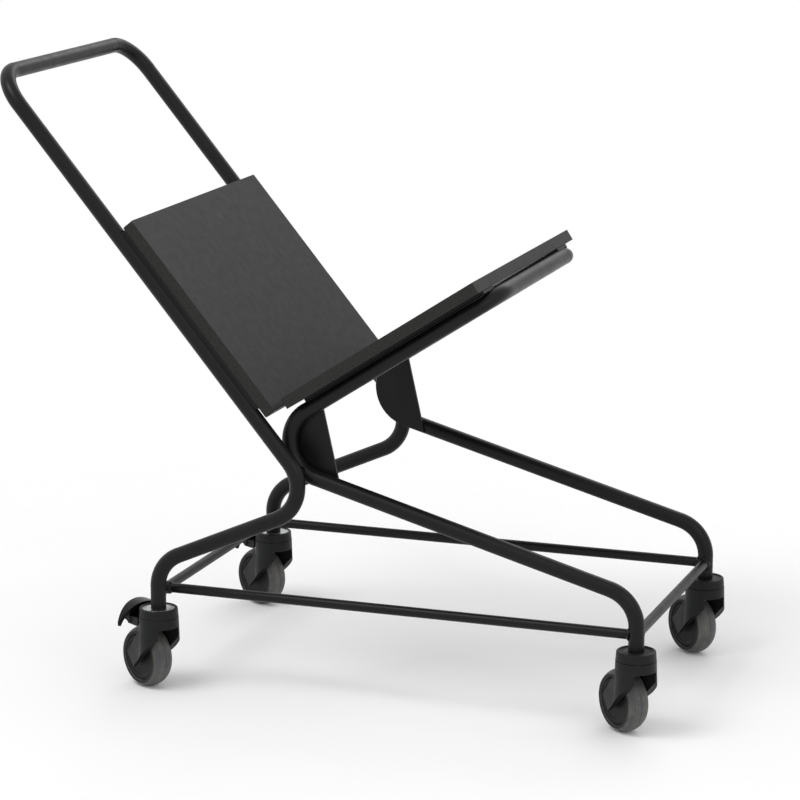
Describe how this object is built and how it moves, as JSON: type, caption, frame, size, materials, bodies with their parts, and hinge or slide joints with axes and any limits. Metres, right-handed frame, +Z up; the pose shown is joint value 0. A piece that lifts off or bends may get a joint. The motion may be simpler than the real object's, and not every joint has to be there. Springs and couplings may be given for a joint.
{
  "type": "stacking chair trolley",
  "caption": "Black tube-frame trolley for stacked chairs: tilted seat and back boards in a V, a push handle and swivel casters with brake pedals at the rear.",
  "frame": {"origin": "on the floor, under the middle of the trolley's overall box in plan", "axes": "+X from the push handle end to the front casters, +Y to the trolley's left side, +Z up"},
  "size_m": [1.0982, 0.597, 1.0032],
  "materials": {
    "frame_paint": "black powder coat, fine satin",
    "board": "black faced board, matt, with grainy brown-grey edges",
    "steel": "zinc plated",
    "zinc": "bright zinc disc",
    "caster_plastic": "dark grey moulded polyamide",
    "hub_plastic": "dark grey moulded hub",
    "tyre": "mid grey soft tread",
    "pedal_plastic": "black glossy moulding",
    "brass": "plain bush"
  },
  "bodies": {
    "frame": {"handle_loop": "frame_paint", "seat_loop": "frame_paint", "gusset_right": "frame_paint", "gusset_left": "frame_paint", "loop_spacers": "frame_paint", "side_brace_right": "frame_paint", "side_brace_left": "frame_paint", "rear_brace": "frame_paint", "front_brace": "frame_paint", "back_board": "board", "seat_board": "board", "back_board_tabs": "frame_paint", "seat_board_tabs": "frame_paint", "board_screws": "steel", "rear_right_stem": "steel", "rear_right_disc": "zinc", "rear_right_cap": "caster_plastic", "rear_right_bearing": "steel", "rear_left_stem": "steel", "rear_left_disc": "zinc", "rear_left_cap": "caster_plastic", "rear_left_bearing": "steel", "front_right_stem": "steel", "front_right_disc": "caster_plastic", "front_right_cap": "caster_plastic", "front_right_bearing": "steel", "front_left_stem": "steel", "front_left_disc": "caster_plastic", "front_left_cap": "caster_plastic", "front_left_bearing": "steel"},
    "rear_right_swivel": {"rear_right_fork": "caster_plastic", "rear_right_axle": "steel", "rear_right_pedal_pin": "steel"},
    "rear_right_wheel": {"rear_right_bush": "brass", "rear_right_hub": "hub_plastic", "rear_right_tyre": "tyre"},
    "rear_right_brake": {"rear_right_pedal": "pedal_plastic"},
    "rear_left_swivel": {"rear_left_fork": "caster_plastic", "rear_left_axle": "steel", "rear_left_pedal_pin": "steel"},
    "rear_left_wheel": {"rear_left_bush": "brass", "rear_left_hub": "hub_plastic", "rear_left_tyre": "tyre"},
    "rear_left_brake": {"rear_left_pedal": "pedal_plastic"},
    "front_right_swivel": {"front_right_fork": "caster_plastic", "front_right_axle": "steel"},
    "front_right_wheel": {"front_right_bush": "brass", "front_right_hub": "hub_plastic", "front_right_tyre": "tyre"},
    "front_left_swivel": {"front_left_fork": "caster_plastic", "front_left_axle": "steel"},
    "front_left_wheel": {"front_left_bush": "brass", "front_left_hub": "hub_plastic", "front_left_tyre": "tyre"}
  },
  "joints": [
    {"name": "rear_right_swivel_turn", "type": "hinge", "parent": "frame", "child": "rear_right_swivel", "pos_m": [-0.27307, -0.26512, 0.138], "axis": [0, 0, 1], "continuous": true},
    {"name": "rear_right_wheel_spin", "type": "hinge", "parent": "rear_right_swivel", "child": "rear_right_wheel", "pos_m": [-0.30222, -0.24761, 0.05], "axis": [-0.515, -0.8572, 0], "continuous": true},
    {"name": "rear_right_brake_press", "type": "hinge", "parent": "rear_right_swivel", "child": "rear_right_brake", "pos_m": [-0.29193, -0.25379, 0.11], "axis": [-0.515, -0.8572, 0], "range_deg": [0, 14]},
    {"name": "rear_left_swivel_turn", "type": "hinge", "parent": "frame", "child": "rear_left_swivel", "pos_m": [-0.27307, 0.23388, 0.138], "axis": [0, 0, 1], "continuous": true},
    {"name": "rear_left_wheel_spin", "type": "hinge", "parent": "rear_left_swivel", "child": "rear_left_wheel", "pos_m": [-0.30281, 0.25036, 0.05], "axis": [-0.4848, -0.8746, 0], "continuous": true},
    {"name": "rear_left_brake_press", "type": "hinge", "parent": "rear_left_swivel", "child": "rear_left_brake", "pos_m": [-0.29231, 0.24454, 0.11], "axis": [-0.4848, -0.8746, 0], "range_deg": [0, 14]},
    {"name": "front_right_swivel_turn", "type": "hinge", "parent": "frame", "child": "front_right_swivel", "pos_m": [0.51593, -0.23262, 0.138], "axis": [0, 0, 1], "continuous": true},
    {"name": "front_right_wheel_spin", "type": "hinge", "parent": "front_right_swivel", "child": "front_right_wheel", "pos_m": [0.49066, -0.20987, 0.05], "axis": [-0.6691, -0.7431, 0], "continuous": true},
    {"name": "front_left_swivel_turn", "type": "hinge", "parent": "frame", "child": "front_left_swivel", "pos_m": [0.51593, 0.20138, 0.138], "axis": [0, 0, 1], "continuous": true},
    {"name": "front_left_wheel_spin", "type": "hinge", "parent": "front_left_swivel", "child": "front_left_wheel", "pos_m": [0.48988, 0.22323, 0.05], "axis": [-0.6428, -0.766, 0], "continuous": true}
  ]
}
